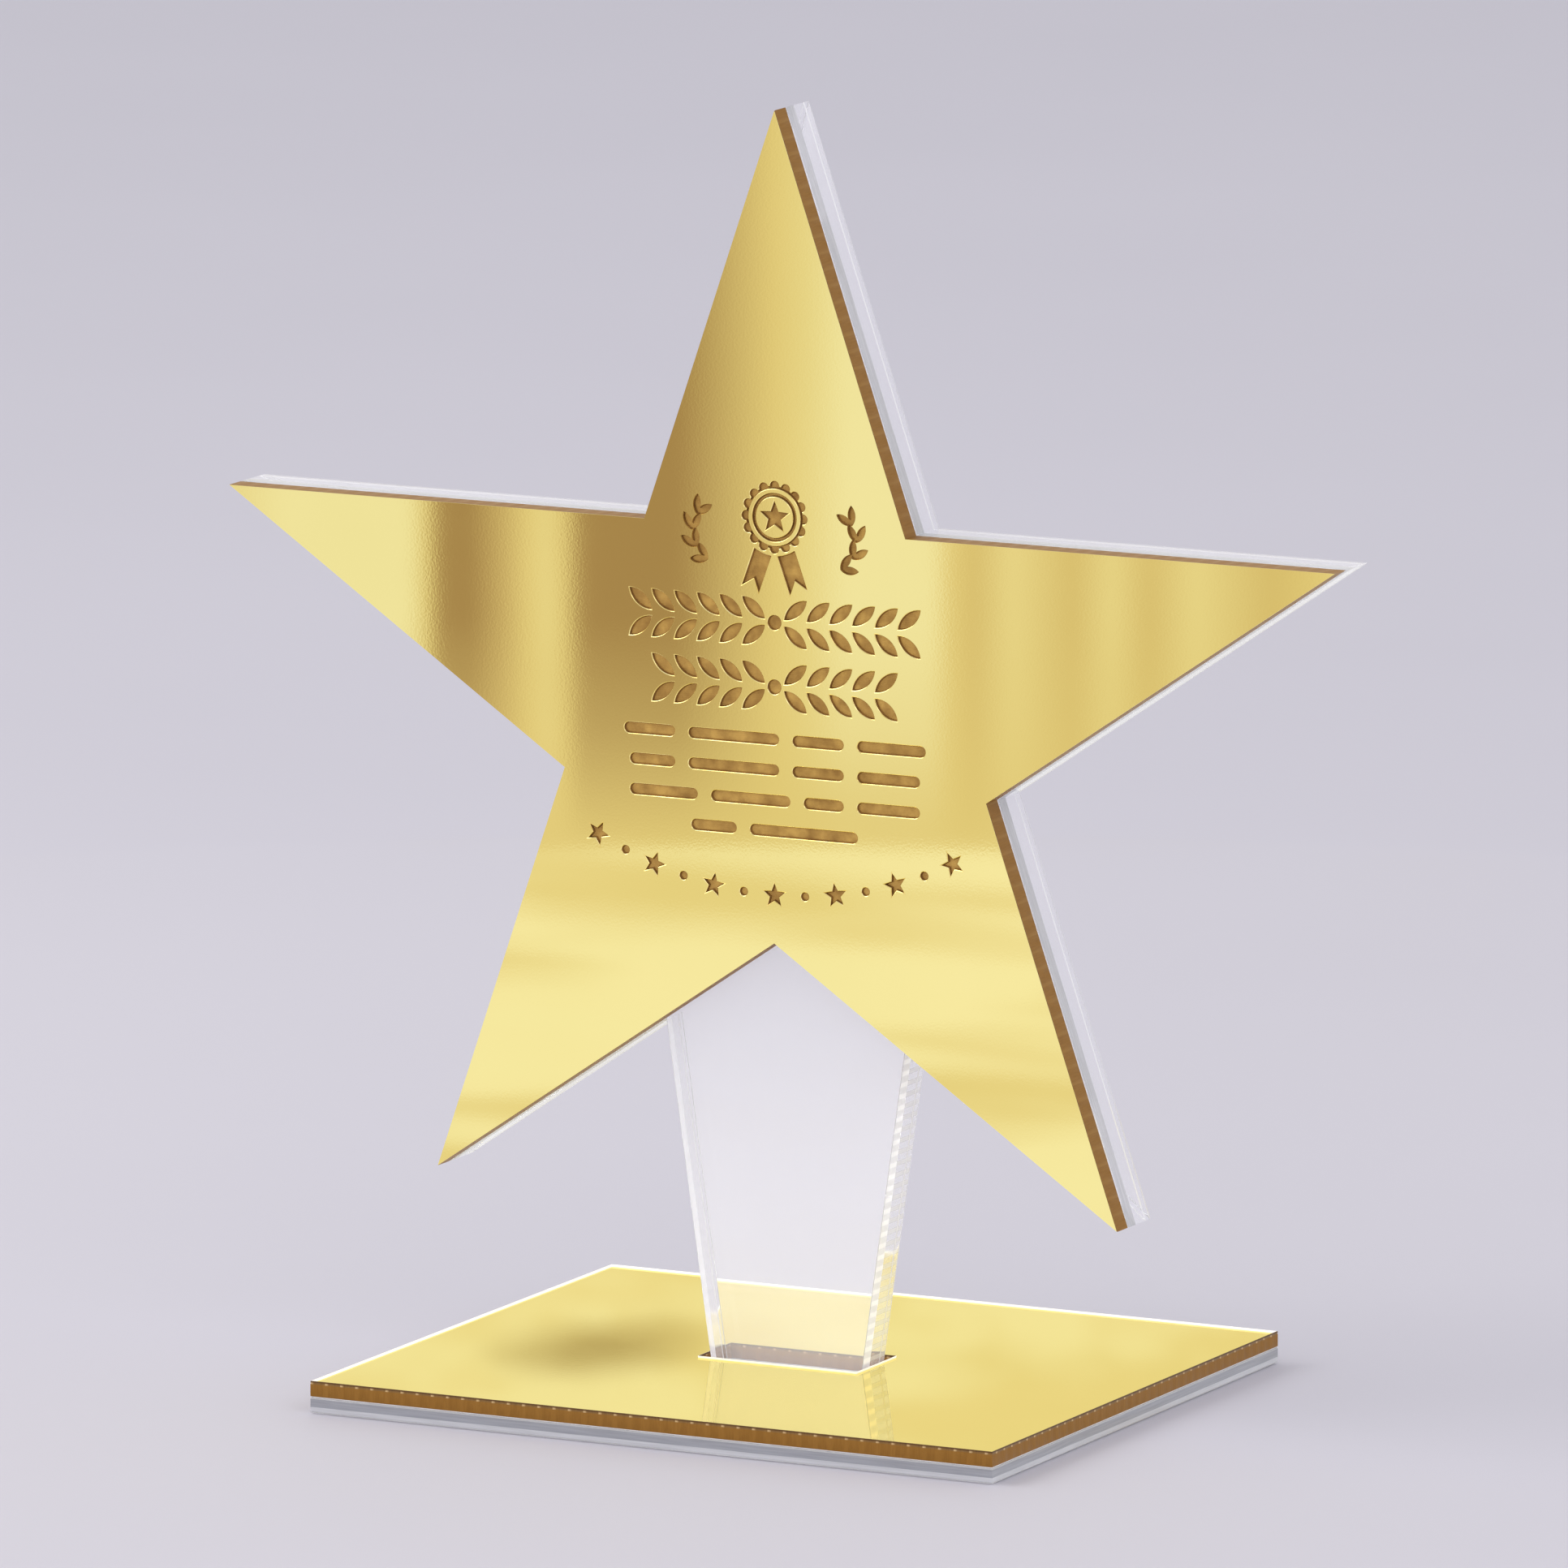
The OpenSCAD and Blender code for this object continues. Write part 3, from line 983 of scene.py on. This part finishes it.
def wall_behind(look, degrees, z):
    """The clouds and the dark blot that the base mirrors."""
    across = look.math("DIVIDE", look.math("SUBTRACT", degrees, BLOT_ANGLE), BLOT_SIZE[0])
    up = look.math("DIVIDE", look.math("SUBTRACT", z, BLOT_HEIGHT), BLOT_SIZE[1])
    squares = look.math("ADD", look.math("MULTIPLY", across, across), look.math("MULTIPLY", up, up))
    reach = look.math("SQRT", squares)
    ragged = look.noise(scale=26, detail=3, vector=look.coordinates(scale=(1, 1, 4)))
    torn = look.math("ADD", reach, look.math("MULTIPLY", ragged, BLOT_RAGGED))
    blot = look.ramp(look.math("DIVIDE", torn, BLOT_REACH), BLOT_FADE)
    cloud = look.noise(scale=20, detail=3, vector=look.coordinates(scale=(1, 1, 3.5)))
    sky = look.ramp(cloud, [(0.4, SOFT), (0.54, PALE)])
    return look.mix(blot, sky, DUSK)


def wall_look():
    look = Look("reflector", {})
    x, y, z = look.place()
    around = look.math("ARCTAN2", x, look.math("MULTIPLY", y, -1))
    degrees = look.math("MULTIPLY", around, 180 / math.pi)
    behind = look.math("GREATER_THAN", y, 0.0)
    colour = look.mix(behind, wall_front(look, degrees, z), wall_behind(look, degrees, z))
    glow = look.add("Emission", {"Color": colour, "Strength": WALL_GLOW})
    look.put(look.output.inputs["Surface"], glow.outputs[0])
    return look.material


def add_wall():
    verts, faces = [], []
    for step in range(0, 360, WALL_STEP):
        out = direction(math.radians(step), 0) * WALL_RADIUS
        verts += [(out.x, out.y, 0), (out.x, out.y, WALL_HEIGHT)]
    for i in range(0, len(verts), 2):
        j = (i + 2) % len(verts)
        faces.append((i, j, j + 1, i + 1))
    wall = stage_object("reflector_wall", verts, faces, wall_look())
    wall.visible_camera = False
    wall.visible_diffuse = False
    wall.visible_transmission = False
    wall.visible_shadow = False
    wall.visible_volume_scatter = False


def add_world():
    world = bpy.data.worlds.new("studio")
    bpy.context.scene.world = world
    world.use_nodes = True
    background = world.node_tree.nodes["Background"]
    background.inputs["Color"].default_value = WORLD_COLOUR
    background.inputs["Strength"].default_value = WORLD_STRENGTH


add_camera()
add_floor()
add_wall()
add_world()
add_lamp("key", azimuth=-62, elevation=40, distance=1.6, size=(1.2, 1.0), power=9,
         colour=(1.0, 0.98, 0.95))
add_lamp("fill", azimuth=60, elevation=30, distance=1.8, size=(1.2, 1.2), power=4,
         colour=(0.96, 0.97, 1.0))
bpy.context.scene.view_settings.view_transform = "Standard"
